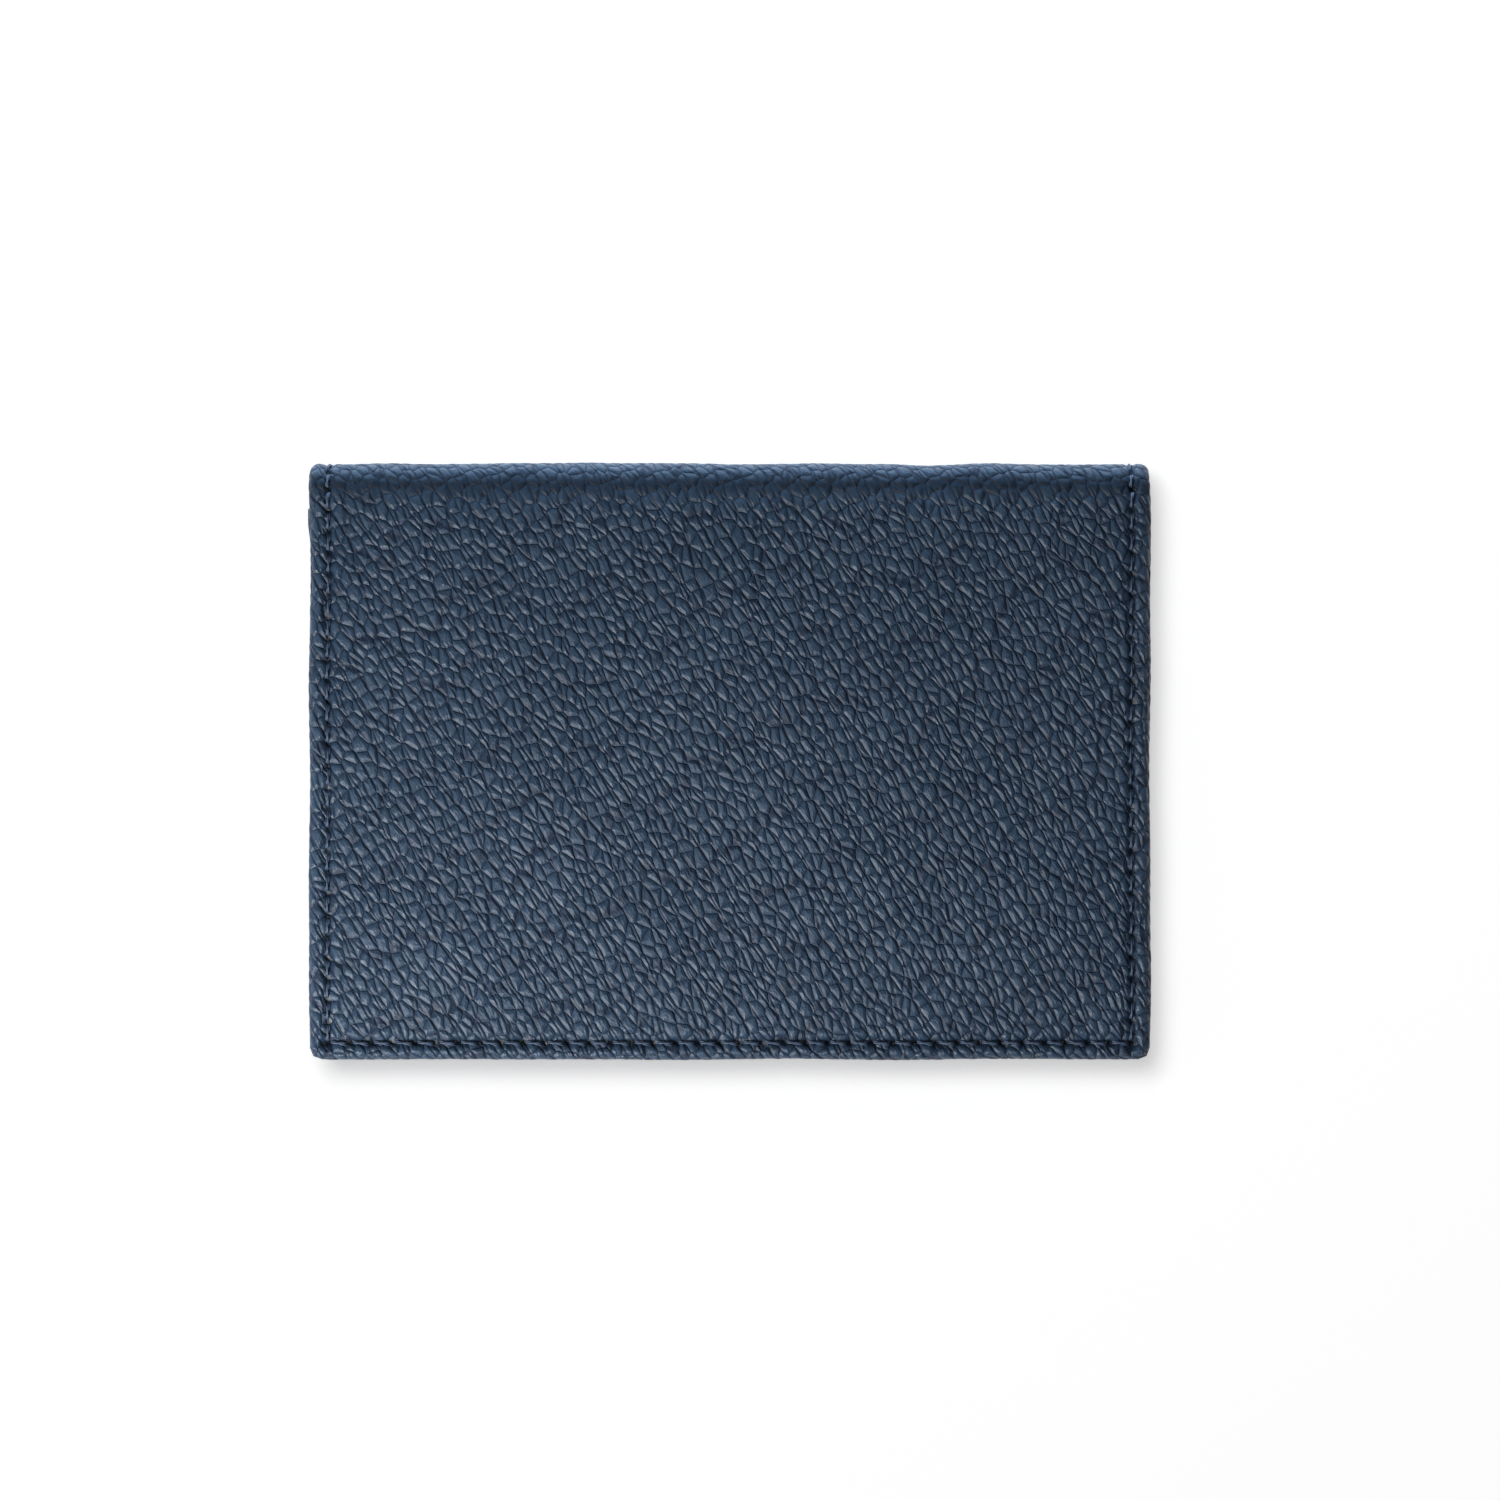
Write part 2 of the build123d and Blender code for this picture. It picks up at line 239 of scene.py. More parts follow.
def reliefModifier(piece):
    # the coarse part of the grain, as real relief
    tree = bpy.data.node_groups.new("grainRelief", "GeometryNodeTree")
    for way in ("INPUT", "OUTPUT"):
        tree.interface.new_socket("Geometry", in_out=way, socket_type="NodeSocketGeometry")
    source = addNode(tree, "NodeGroupInput")
    result = addNode(tree, "NodeGroupOutput")
    place = addNode(tree, "GeometryNodeInputNamedAttribute", data_type="FLOAT_VECTOR")
    place.inputs["Name"].default_value = "hide"
    domes = addGrain(tree, place.outputs["Attribute"])[2]
    level = addMath(tree, "SUBTRACT", domes, grain["reliefLevel"])
    height = addMath(tree, "MULTIPLY", level, grain["relief"])
    keep = addNode(tree, "GeometryNodeInputNamedAttribute", data_type="FLOAT")
    keep.inputs["Name"].default_value = "grainShare"
    height = addMath(tree, "MULTIPLY", height, keep.outputs["Attribute"])
    normal = addNode(tree, "GeometryNodeInputNormal")
    move = addNode(tree, "ShaderNodeVectorMath", operation="SCALE")
    tree.links.new(normal.outputs[0], move.inputs[0])
    tree.links.new(height, move.inputs["Scale"])
    shift = addNode(tree, "GeometryNodeSetPosition")
    tree.links.new(source.outputs[0], shift.inputs["Geometry"])
    tree.links.new(move.outputs[0], shift.inputs["Offset"])
    tree.links.new(shift.outputs[0], result.inputs[0])
    modifier = piece.modifiers.new("grain", "NODES")
    modifier.node_group = tree


def newMaterial(name, finish):
    material = bpy.data.materials.new(name)
    material.use_nodes = True
    tree = material.node_tree
    tree.nodes.clear()
    shader = addNode(tree, "ShaderNodeBsdfPrincipled")
    output = addNode(tree, "ShaderNodeOutputMaterial")
    tree.links.new(shader.outputs[0], output.inputs[0])
    shader.inputs["Roughness"].default_value = finish["roughness"]
    shader.inputs["Specular IOR Level"].default_value = finish["specular"]
    return material, tree, shader


def mixColours(tree, factor, first, second):
    node = addNode(tree, "ShaderNodeMix", data_type="RGBA")
    tree.links.new(factor, node.inputs["Factor"])
    for socket, value in (("A", first), ("B", second)):
        target = [i for i in node.inputs if i.name == socket and i.type == "RGBA"][0]
        if isinstance(value, tuple):
            target.default_value = (*value, 1)
        else:
            tree.links.new(value, target)
    return [o for o in node.outputs if o.type == "RGBA"][0]


def addBump(tree, height, distance, strength=1.0, under=None):
    node = addNode(tree, "ShaderNodeBump")
    node.inputs["Strength"].default_value = strength
    node.inputs["Distance"].default_value = distance
    tree.links.new(height, node.inputs["Height"])
    if under is not None:
        tree.links.new(under, node.inputs["Normal"])
    return node.outputs[0]


hideFinish = {
    "plateau": (0.0175, 0.0350, 0.0625),
    "pale": (0.0235, 0.0435, 0.0755),
    # painted shade: the darker colour in the grain's grooves and creases
    "crease": (0.009, 0.018, 0.036),
    # painted shade: the colour of the dark band along the shoulder of the fold
    "fold": (0.004, 0.009, 0.018),
    # painted shade: the colour of the needle holes and the seam furrows
    "hole": (0.001, 0.002, 0.004),
    "cloud": 60,  # scale of the drift between plateau and pale
    "cloudSpan": (0.35, 0.7),
    "roughness": 0.36,
    "specular": 0.32,
    "pores": 5200,
    "poreSpan": (0.3, 0.75),
    "poreRoughness": (0.30, 0.42),
    "creaseRoughness": 0.12,
    "foldRoughness": 0.35,
    "poreDepth": 0.016 * mm,
    "poreStrength": 0.8,
    "wrinkles": 1 / (0.32 * mm),
    "wrinkleStretch": (0.55, 1.2, 1),
    "wrinkleDepth": 0.15 * mm,
}


def hideMaterial():
    finish = hideFinish
    material, tree, shader = newMaterial("navyPebbledHide", finish)
    coord = addNode(tree, "ShaderNodeUVMap", uv_map="hide").outputs[0]
    height, creases, _ = addGrain(tree, coord)
    cloud = addNoise(tree, coord, finish["cloud"], 3.0).outputs["Fac"]
    drift = addRange(tree, cloud, *finish["cloudSpan"])
    body = mixColours(tree, drift, finish["plateau"], finish["pale"])
    # painted shade in the grain's grooves and creases
    colour = mixColours(tree, creases, finish["crease"], body)
    # painted shade in a band along the shoulder of the fold, where the board ends
    foldPaintedShade = addNode(tree, "ShaderNodeAttribute", attribute_name="foldPaintedShade").outputs["Fac"]
    colour = mixColours(tree, foldPaintedShade, colour, finish["fold"])
    # painted shade in the needle holes and along the seam furrows
    seamPaintedShade = addNode(tree, "ShaderNodeAttribute", attribute_name="seamPaintedShade").outputs["Fac"]
    colour = mixColours(tree, seamPaintedShade, colour, finish["hole"])
    tree.links.new(colour, shader.inputs["Base Color"])
    pores = addNoise(tree, coord, finish["pores"], 3.0, 0.65).outputs["Fac"]
    rough = addRange(tree, pores, *finish["poreSpan"], *finish["poreRoughness"])
    inCreases = addRange(tree, creases, 0.0, 1.0, finish["creaseRoughness"], 0.0)
    rough = addMath(tree, "ADD", rough, inCreases)
    inFold = addMath(tree, "MULTIPLY", foldPaintedShade, finish["foldRoughness"])
    tree.links.new(addMath(tree, "ADD", rough, inFold), shader.inputs["Roughness"])
    wrinkleCoord = stretched(tree, coord, grain["lean"], finish["wrinkleStretch"])
    wrinkles = addNoise(tree, wrinkleCoord, finish["wrinkles"], 3.0, 0.6).outputs["Fac"]
    bump = addBump(tree, pores, finish["poreDepth"], finish["poreStrength"])
    bump = addBump(tree, wrinkles, finish["wrinkleDepth"], under=bump)
    tree.links.new(addBump(tree, height, grain["bump"], under=bump), shader.inputs["Normal"])
    return material


threadFinish = {
    "dark": (0.019, 0.032, 0.060),
    "light": (0.050, 0.076, 0.125),
    "fibres": 9000,
    "fibreSpan": (0.35, 0.7),
    "fibreDepth": 0.03 * mm,
    "roughness": 0.55,
    "specular": 0.4,
}


def threadMaterial():
    finish = threadFinish
    material, tree, shader = newMaterial("navyThread", finish)
    place = addNode(tree, "ShaderNodeTexCoord")
    fibres = addNoise(tree, place.outputs["Object"], finish["fibres"], 3.0, 0.7).outputs["Fac"]
    shade = addRange(tree, fibres, *finish["fibreSpan"])
    colour = mixColours(tree, shade, finish["dark"], finish["light"])
    tree.links.new(colour, shader.inputs["Base Color"])
    tree.links.new(addBump(tree, fibres, finish["fibreDepth"]), shader.inputs["Normal"])
    return material


innerLeatherFinish = {
    "line": (0.011, 0.018, 0.036),
    "plateau": (0.020, 0.033, 0.060),
    "pale": (0.028, 0.045, 0.080),
    "cloud": 70,
    "span": (0.3, 0.7),
    "warpScale": 400,
    "warp": 0.3 * mm,
    "cells": 1 / (0.75 * mm),
    "lineWidth": 0.14,
    "cellDepth": 0.05 * mm,
    "cellStrength": 0.9,
    "pores": 6000,
    "poreRoughness": (0.46, 0.62),
    "poreDepth": 0.012 * mm,
    "poreStrength": 0.7,
    "roughness": 0.55,
    "specular": 0.45,
}


def innerLeatherMaterial():
    finish = innerLeatherFinish
    material, tree, shader = newMaterial("navyInnerLeather", finish)
    place = addNode(tree, "ShaderNodeTexCoord")
    coord = warped(tree, place.outputs["Object"], finish["warpScale"], finish["warp"])
    edges = addCellEdges(tree, coord, finish["cells"], dimensions="3D")
    cells = addRange(tree, edges, 0.0, finish["lineWidth"])
    cloud = addNoise(tree, coord, finish["cloud"], 3.0).outputs["Fac"]
    drift = addRange(tree, cloud, *finish["span"])
    body = mixColours(tree, drift, finish["plateau"], finish["pale"])
    tree.links.new(mixColours(tree, cells, finish["line"], body), shader.inputs["Base Color"])
    pores = addNoise(tree, coord, finish["pores"], 2.0).outputs["Fac"]
    rough = addRange(tree, pores, *finish["span"], *finish["poreRoughness"])
    tree.links.new(rough, shader.inputs["Roughness"])
    bump = addBump(tree, pores, finish["poreDepth"], finish["poreStrength"])
    bump = addBump(tree, cells, finish["cellDepth"], finish["cellStrength"], bump)
    tree.links.new(bump, shader.inputs["Normal"])
    return material


weaveFinish = {
    "dark": (0.007, 0.011, 0.021),
    "light": (0.020, 0.032, 0.058),
    "yarn": 0.36 * mm,
    "weftCount": 2.6,  # weft yarns to each warp yarn
    "weftHeight": 0.4,
    "depth": 0.06 * mm,
    "sheen": 0.06,
    "roughness": 0.75,
    "specular": 0.2,
}


def weaveMaterial():
    finish = weaveFinish
    material, tree, shader = newMaterial("navyLiningWeave", finish)
    shader.inputs["Sheen Weight"].default_value = finish["sheen"]
    place = addNode(tree, "ShaderNodeUVMap", uv_map="hide")
    split = addNode(tree, "ShaderNodeSeparateXYZ")
    tree.links.new(place.outputs[0], split.inputs[0])
    turns = 2 * pi / finish["yarn"]
    across = split.outputs["X"]
    diagonal = addMath(tree, "ADD", across, split.outputs["Y"])
    warp = addMath(tree, "SINE", addMath(tree, "MULTIPLY", diagonal, turns))
    weftTurns = turns * finish["weftCount"]
    weft = addMath(tree, "SINE", addMath(tree, "MULTIPLY", across, weftTurns))
    height = addMath(tree, "ADD", warp, addMath(tree, "MULTIPLY", weft, finish["weftHeight"]))
    shade = addRange(tree, height, -1.2, 1.2)
    colour = mixColours(tree, shade, finish["dark"], finish["light"])
    tree.links.new(colour, shader.inputs["Base Color"])
    tree.links.new(addBump(tree, shade, finish["depth"]), shader.inputs["Normal"])
    return material


boardFinish = {
    "dark": (0.30, 0.26, 0.20),
    "light": (0.42, 0.38, 0.31),
    "fibres": 1500,
    "fibreDepth": 0.05 * mm,
    "roughness": 0.85,
    "specular": 0.2,
}


def boardMaterial():
    finish = boardFinish
    material, tree, shader = newMaterial("greyBoard", finish)
    place = addNode(tree, "ShaderNodeTexCoord")
    fibres = addNoise(tree, place.outputs["Object"], finish["fibres"], 4.0).outputs["Fac"]
    colour = mixColours(tree, fibres, finish["dark"], finish["light"])
    tree.links.new(colour, shader.inputs["Base Color"])
    tree.links.new(addBump(tree, fibres, finish["fibreDepth"]), shader.inputs["Normal"])
    return material


hide = hideMaterial()
thread = threadMaterial()
innerLeather = innerLeatherMaterial()
weave = weaveMaterial()
greyBoard = boardMaterial()
print("materials made")

seam = {
    "sideInset": 2.4 * mm,
    "openInset": 2.1 * mm,
    "mouthInset": 2.0 * mm,
    "pitch": 2.68 * mm,
    "furrow": 0.40 * mm,
    "pull": 0.34 * mm,  # how much deeper the leather goes at a needle hole
    "reach": 3 * mm,  # the leather further away is left flat
    "openZone": 4 * mm,  # the open edges are sewn through more layers
    # how dark the painted shade along the seam line and in the needle holes is
    "linePaintedShade": 0.5,
    "holePaintedShade": 1.35,
}
sideMarks = {"furrow": 0.50 * mm, "line": 0.20 * mm, "hole": (0.30 * mm, 0.44 * mm)}
openMarks = {"furrow": 0.66 * mm, "line": 0.34 * mm, "hole": (0.42 * mm, 0.66 * mm)}

# The needle goes up one side, over the fold and down, on both sides and along both open edges.
seamU = halfWidth - seam["sideInset"]
seamBackS = seam["openInset"]
seamFrontS = sheetLength - seam["openInset"]


def seamRuns():
    # (start, end) of each straight run of the needle in the flat sheet
    backLeft, backRight = Vector((-seamU, seamBackS)), Vector((seamU, seamBackS))
    frontLeft, frontRight = Vector((-seamU, seamFrontS)), Vector((seamU, seamFrontS))
    midLeft, midRight = Vector((-seamU, midSheet)), Vector((seamU, midSheet))
    back = [(backLeft, midLeft), (backRight, midRight), (backLeft, backRight)]
    front = [(frontLeft, midLeft), (frontRight, midRight), (frontLeft, frontRight)]
    return back, front


def seamPlace(u, s):
    # distance from the nearest run, and how far along the pitch the nearest stitch is
    fromSide = abs(abs(u) - seamU)
    fromOpen = min(abs(s - seamBackS), abs(s - seamFrontS))
    if seamBackS - mm < s < seamFrontS + mm and fromSide <= fromOpen:
        run = midSheet - seamBackS
        step = run / round(run / seam["pitch"])
        return fromSide, (abs(s - midSheet) / step) % 1
    if abs(u) < seamU + mm:
        step = 2 * seamU / round(2 * seamU / seam["pitch"])
        return fromOpen, ((u + seamU) / step) % 1
    return 1.0, 0.5


def seamDip(u, s):
    # (how deep the leather is pulled in, how dark the painted shade in the hole and along the
    # furrow is)
    far, along = seamPlace(u, s)
    if far > seam["reach"]:
        return 0.0, 0.0
    fromHole = min(along, 1 - along) * seam["pitch"]
    marks = openMarks if min(s, sheetLength - s) < seam["openZone"] else sideMarks
    holeWidth, holeLength = marks["hole"]
    hole = exp(-((far / holeWidth) ** 2) - (fromHole / holeLength) ** 2)
    line = seam["linePaintedShade"] * bell(far / marks["line"])
    dip = seam["furrow"] * bell(far / marks["furrow"]) + seam["pull"] * hole
    return dip, min(1, max(line, seam["holePaintedShade"] * hole))


cover = {
    "spacing": 0.36 * mm,
    "roundSteps": 10,
    "turnIn": 4.5 * mm,
    "turnSteps": 8,
    "cornerRadius": 1.45 * mm,
    "crown": 0.22 * mm,
    "softness": 0.16 * mm,
    "softWaves": ((17 * mm, 3.1, 1), (7 * mm, 8.4, 0.5)),
    "waviness": 0.22 * mm,  # of the fold, the sides and the open ends
    "foldWaves": ((19 * mm, 5.5, 1), (6 * mm, 2.5, 0.6)),
    "foldZone": 9 * mm,
    "leftWaves": ((13 * mm, 6.2, 1),),
    "rightWaves": ((13 * mm, 1.7, 1),),
    "endWaves": ((14 * mm, 9.1, 0.6),),
    "endZone": 3 * mm,
    "foldDip": 0.22 * mm,  # the shallow hollow where the board ends
    "dipInset": 1.3 * mm,
    "dipWidth": 1.5 * mm,
    # how dark the painted shade in the hollow is
    "dipPaintedShade": 0.96,
    "grainReach": 1.6,  # depth where the relief starts to fade, in radii of the turned edge
    "grainFade": 0.4,
}


def bendPoint(u, s, depth):
    # s runs over the outside of the cover: back panel, fold, spine, fold, front panel
    spineStart = flatLength + quarterTurn
    upperTurn = spineStart + spineFlat
    frontStart = upperTurn + quarterTurn
    inner = foldRadius - depth
    if s <= flatLength:
        return Vector((u, openEdge + s, depth))
    if s <= spineStart:
        a = (s - flatLength) / foldRadius
        return Vector((u, foldLine + inner * sin(a), foldRadius - inner * cos(a)))
    if s <= upperTurn:
        return Vector((u, foldLine + inner, foldRadius + s - spineStart))
    if s <= frontStart:
        a = (s - upperTurn) / foldRadius
        return Vector((u, foldLine + inner * cos(a), caseHeight - foldRadius + inner * sin(a)))
    return Vector((u, foldLine - (s - frontStart), caseHeight - depth))


def edgeRings(radius):
    # (offset from the flat's edge, depth, length of leather used) for each ring of a turned edge
    turnIn = cover["turnIn"]
    rings = []
    for i in range(1, cover["roundSteps"] + 1):
        a = pi * i / cover["roundSteps"]
        rings.append((radius * sin(a), radius * (1 - cos(a)), radius * a))
    for i in range(1, cover["turnSteps"] + 1):
        back = turnIn * i / cover["turnSteps"]
        rings.append((-back, 2 * radius, pi * radius + back))
    rings.append((-turnIn - 0.05 * mm, lidDepth, pi * radius + turnIn + 0.5 * mm))
    return rings


def turnedSheet(radius):
    # A flat sheet whose four edges are turned round and under. Coordinates are (u, s, depth).
    reachU = halfWidth - radius
    reachS = midSheet - radius
    bm = bmesh.new()
    countU = ceil(2 * reachU / cover["spacing"])
    countS = 2 * ceil(reachS / cover["spacing"])
    bmesh.ops.create_grid(bm, x_segments=countU, y_segments=countS, size=1)
    bmesh.ops.scale(bm, vec=(reachU, reachS, 1), verts=bm.verts)
    pattern = bm.verts.layers.float_vector.new("pattern")
    for v in bm.verts:
        v[pattern] = Vector((v.co.x, v.co.y + midSheet, 0))
    before = 0
    edges = [e for e in bm.edges if e.is_boundary]
    for offset, depth, used in edgeRings(radius):
        grown = bmesh.ops.extrude_edge_only(bm, edges=edges)["geom"]
        edges = [g for g in grown if isinstance(g, bmesh.types.BMEdge)]
        for v in (g for g in grown if isinstance(g, bmesh.types.BMVert)):
            onU = abs(abs(v.co.x) - (reachU + before)) < 1e-6
            onS = abs(abs(v.co.y) - (reachS + before)) < 1e-6
            along = Vector((v.co.x, v.co.y + midSheet, 0))
            if onU:
                side = sideOf(v.co.x)
                v.co.x = side * (reachU + offset)
                along.x = side * (reachU + used)
            if onS:
                side = sideOf(v.co.y)
                v.co.y = side * (reachS + offset)
                along.y = side * (reachS + used) + midSheet
            v.co.z = depth
            v[pattern] = along
        edges = [e for e in edges if e.is_boundary]
        before = offset
    squareU = halfWidth - cover["cornerRadius"]
    squareS = midSheet - cover["cornerRadius"]
    for v in bm.verts:
        q = Vector((abs(v.co.x) - squareU, abs(v.co.y) - squareS))
        if q.x > 0 and q.y > 0:  # rounds the corners
            shrink = max(q) / q.length
            v.co.x = sideOf(v.co.x) * (squareU + q.x * shrink)
            v.co.y = sideOf(v.co.y) * (squareS + q.y * shrink)
        v.co.y += midSheet
    return bm, edges, pattern


def closeInside(bm, edges, cutsAt):
    # one flat lid over the turned edge, cut into strips where it has to bend
    lid = bmesh.ops.contextual_create(bm, geom=edges)["faces"]
    for s in cutsAt:
        rims = {e for f in lid for e in f.edges}
        corners = {v for f in lid for v in f.verts}
        geom = [*lid, *rims, *corners]
        bmesh.ops.bisect_plane(bm, geom=geom, dist=2e-6, plane_co=(0, s, 0), plane_no=(0, 1, 0))
        flat = [f for f in bm.faces if all(abs(v.co.z - lidDepth) < 1e-7 for v in f.verts)]
        lid = [f for f in flat if len(f.verts) > 4]


def writePattern(bm, pattern):
    uv = bm.loops.layers.uv.new("hide")
    for f in bm.faces:
        for loop in f.loops:
            loop[uv].uv = loop.vert[pattern].xy


def foldHollow(s):
    fromFold = abs(s - midSheet) - (spineFlat / 2 + quarterTurn - cover["dipInset"])
    return bell(fromFold / cover["dipWidth"])


def coverRise(u, s):
    rise = cover["softness"] * waves(u, s, cover["softWaves"])
    inU = 1 - (abs(u) / halfWidth) ** 4
    flatSpan = min(s, sheetLength - s) / flatLength
    inS = max(0, 1 - abs(2 * flatSpan - 1) ** 4) if flatSpan < 1 else 0
    rise += cover["crown"] * inU * inS - cover["foldDip"] * inU * foldHollow(s)
    nearFold = bell((s - midSheet) / cover["foldZone"])
    return rise + cover["waviness"] * nearFold * waves(u, 0, cover["foldWaves"])


def coverPoint(u, s, depth, outer=1.0):
    # where a point of the flat cover ends up on the closed case
    layers = cover["rightWaves"] if u > 0 else cover["leftWaves"]
    sideWave = cover["waviness"] * waves(s, 0, layers) * (abs(u) / halfWidth) ** 8
    place = bendPoint(u + sideOf(u) * sideWave, s, depth - coverRise(u, s) * outer)
    nearEnd = 1 - smooth(min(s, sheetLength - s) / cover["endZone"])
    place.y -= nearEnd * cover["waviness"] * waves(u, 0, cover["endWaves"])
    return place


def coverSheet():
    radius = coverDepth / 2
    bm, edges, pattern = turnedSheet(radius)
    middle = [v for v in bm.verts if abs(v.co.z) < 1e-9 and abs(v.co.x) < cover["spacing"]]
    rows = sorted({round(v.co.y, 8) for v in middle})
    foldRows = [s for s in rows if flatLength - mm < s < sheetLength - flatLength + mm][::2]
    closeInside(bm, edges, sorted(set(foldRows) | {midSheet}))
    share = bm.verts.layers.float.new("grainShare")
    shade = bm.verts.layers.float.new("seamPaintedShade")
    foldPaintedShade = bm.verts.layers.float.new("foldPaintedShade")
    for v in bm.verts:
        u, s, depth = v.co
        outer = 1 - smooth(depth / radius)
        dip, dark = seamDip(u, s)
        v[share] = 1 - smooth((depth / radius - cover["grainReach"]) / cover["grainFade"])
        # painted shade along the seams
        v[shade] = dark * outer
        # painted shade along the shoulder of the fold
        v[foldPaintedShade] = cover["dipPaintedShade"] * foldHollow(s) * outer
        v.co = coverPoint(u, s, depth + dip * outer, outer)
    bmesh.ops.recalc_face_normals(bm, faces=bm.faces)
    writePattern(bm, pattern)
    return meshPiece("coverWhole", bm, hide)


def finishRelief(piece):
    # the grain modifier becomes part of the mesh
    graph = bpy.context.evaluated_depsgraph_get()
    mesh = bpy.data.meshes.new_from_object(
        piece.evaluated_get(graph), preserve_all_data_layers=True, depsgraph=graph
    )
    piece.modifiers.clear()
    piece.data = mesh


def halfOfCover(whole, name, front):
    # one half of the finished cover, closed across the middle of the spine
    bm = bmesh.new()
    bm.from_mesh(whole.data)
    uv = bm.loops.layers.uv["hide"]
    middle = caseHeight / 2
    away = [f for f in bm.faces if (f.calc_center_median().z < middle) == front]
    bmesh.ops.delete(bm, geom=away, context="FACES")
    rim = [e for e in bm.edges if e.is_boundary]
    for e in rim:
        e.smooth = False
    for f in bmesh.ops.contextual_create(bm, geom=rim)["faces"]:
        f.smooth = False
        for loop in f.loops:
            loop[uv].uv = (loop.vert.co.x, midSheet)
    return meshPiece(name, bm, hide)


whole = coverSheet()
reliefModifier(whole)
finishRelief(whole)
coverBack = halfOfCover(whole, "coverBack", False)
coverFront = halfOfCover(whole, "coverFront", True)
bpy.data.objects.remove(whole)
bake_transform(coverBack)
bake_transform(coverFront)
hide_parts("cover_back_panel", "cover_fold_lower", "cover_spine_panel")
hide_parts("cover_front_panel", "cover_fold_upper")
print("cover made", len(coverBack.data.polygons), len(coverFront.data.polygons))

stitch = {
    "fill": 0.76,  # share of the pitch that shows as thread
    "sides": 5,
    "cuts": 6,
    "plyRadius": 0.125 * mm,
    "spread": 0.11 * mm,
    "flatness": 0.6,
    "slant": 0.3 * mm,
    "sink": 0.5 * mm,
    "height": 0.02 * mm,  # of the thread's middle above the leather round the furrow
    "twist": 1.25 * pi,
    "coverDepth": 0.1 * mm,  # how far the stitches are pulled into each leather
    "innerDepth": 0.08 * mm,
}


def stitchShape():
    # one two-ply stitch: X runs 0 to 1 along it, Y across and Z out of the leather in metres
    bm = bmesh.new()
    radius = stitch["plyRadius"]
    bmesh.ops.create_cone(
        bm, cap_ends=True, segments=stitch["sides"], radius1=radius, radius2=radius, depth=1
    )
    long = [e for e in bm.edges if abs(e.verts[0].co.z - e.verts[1].co.z) > 0.5]
    bmesh.ops.subdivide_edges(bm, edges=long, cuts=stitch["cuts"])
    other = bmesh.ops.duplicate(bm, geom=everything(bm))["geom"]
    second = {g for g in other if isinstance(g, bmesh.types.BMVert)}
    for v in bm.verts:
        t = v.co.z + 0.5
        turn = stitch["twist"] * t + (pi if v in second else 0)
        across = stitch["spread"] * cos(turn) + stitch["slant"] * (t - 0.5)
        out = stitch["spread"] * stitch["flatness"] * sin(turn) + stitch["height"]
        out -= stitch["sink"] * abs(2 * t - 1) ** 4
        v.co = Vector((t, v.co.x + across, v.co.y + out))
    mesh = bpy.data.meshes.new("stitchShape")
    bm.to_mesh(mesh)
    bm.free()
    return mesh


def sewn(name, runs, place):
    # stitches along straight runs, each put on the leather by place(across, along, height)
    bm = bmesh.new()
    for start, end in runs:
        count = max(1, round((end - start).length / seam["pitch"]))
        step = (end - start) / count
        side = Vector((-step.y, step.x)).normalized()
        for i in range(count):
            before = len(bm.verts)
            bm.from_mesh(oneStitch)
            bm.verts.ensure_lookup_table()
            for v in bm.verts[before:]:
                along = i + (1 - stitch["fill"]) / 2 + stitch["fill"] * v.co.x
                at = start + step * along + side * v.co.y
                v.co = place(at.x, at.y, v.co.z)
    bmesh.ops.recalc_face_normals(bm, faces=bm.faces)
    piece = meshPiece(name, bm, thread)
    return piece


def onCover(u, s, height):
    return coverPoint(u, s, stitch["coverDepth"] - height)


oneStitch = stitchShape()
backRuns, frontRuns = seamRuns()
coverStitchingBack = sewn("coverStitchingBack", backRuns, onCover)
coverStitchingFront = sewn("coverStitchingFront", frontRuns, onCover)
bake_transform(coverStitchingBack)
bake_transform(coverStitchingFront)
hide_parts("back_seam_thread", "spine_thread")
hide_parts("front_seam_thread")
print("cover stitching made")

inside = {
    "edge": 0.16 * mm,  # rounding of the cut edges
    "linerEdge": 0.08 * mm,
    "gussetEdge": 0.1 * mm,
    "cut": 2.6 * mm,  # size of the cells that let a panel undulate
    "cutShift": 0.37,  # in cells, so that no cut runs along an edge
    "softness": 0.09 * mm,
    "softSize": 16 * mm,
    "softSeed": 4.4,
    "flare": 1.25 * mm,
    "flareInset": 50.3 * mm,  # from the middle of the case
    "flareWidth": 1.2 * mm,
    "flareDrop": 10.5 * mm,  # below the mouth
    "flareLength": 9 * mm,
    "gussetLeather": 0.6 * mm,
    "legFlat": 0.65 * mm,  # the gussets' legs stay flat on the lining and on the panel
    "spineCut": 0.4 * mm,
}


def undulation(x, y):
    return inside["softness"] * wander(x, y, inside["softSize"], inside["softSeed"])


def flare(v):
    # the pocket's left corner stands a little out of the closed case, most of it at the mouth
    outside = smooth((-v.co.x - inside["flareInset"]) / inside["flareWidth"])
    nearMouth = smooth((v.co.y - panelHigh[1] + inside["flareDrop"]) / inside["flareLength"])
    v.co.x -= inside["flare"] * outside * nearMouth


def mergedNode(node):
    # a copy of a plain shape, with its loose triangles joined
    bm = bmesh.new()
    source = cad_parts[node]
    bm.from_mesh(source.data)
    bmesh.ops.transform(bm, matrix=source.matrix_world, verts=bm.verts)
    bmesh.ops.remove_doubles(bm, verts=bm.verts, dist=2e-6)
    return bm


def cutAt(bm, place, normal, **settings):
    bmesh.ops.bisect_plane(
        bm, geom=everything(bm), dist=1e-7, plane_co=place, plane_no=normal, **settings
    )


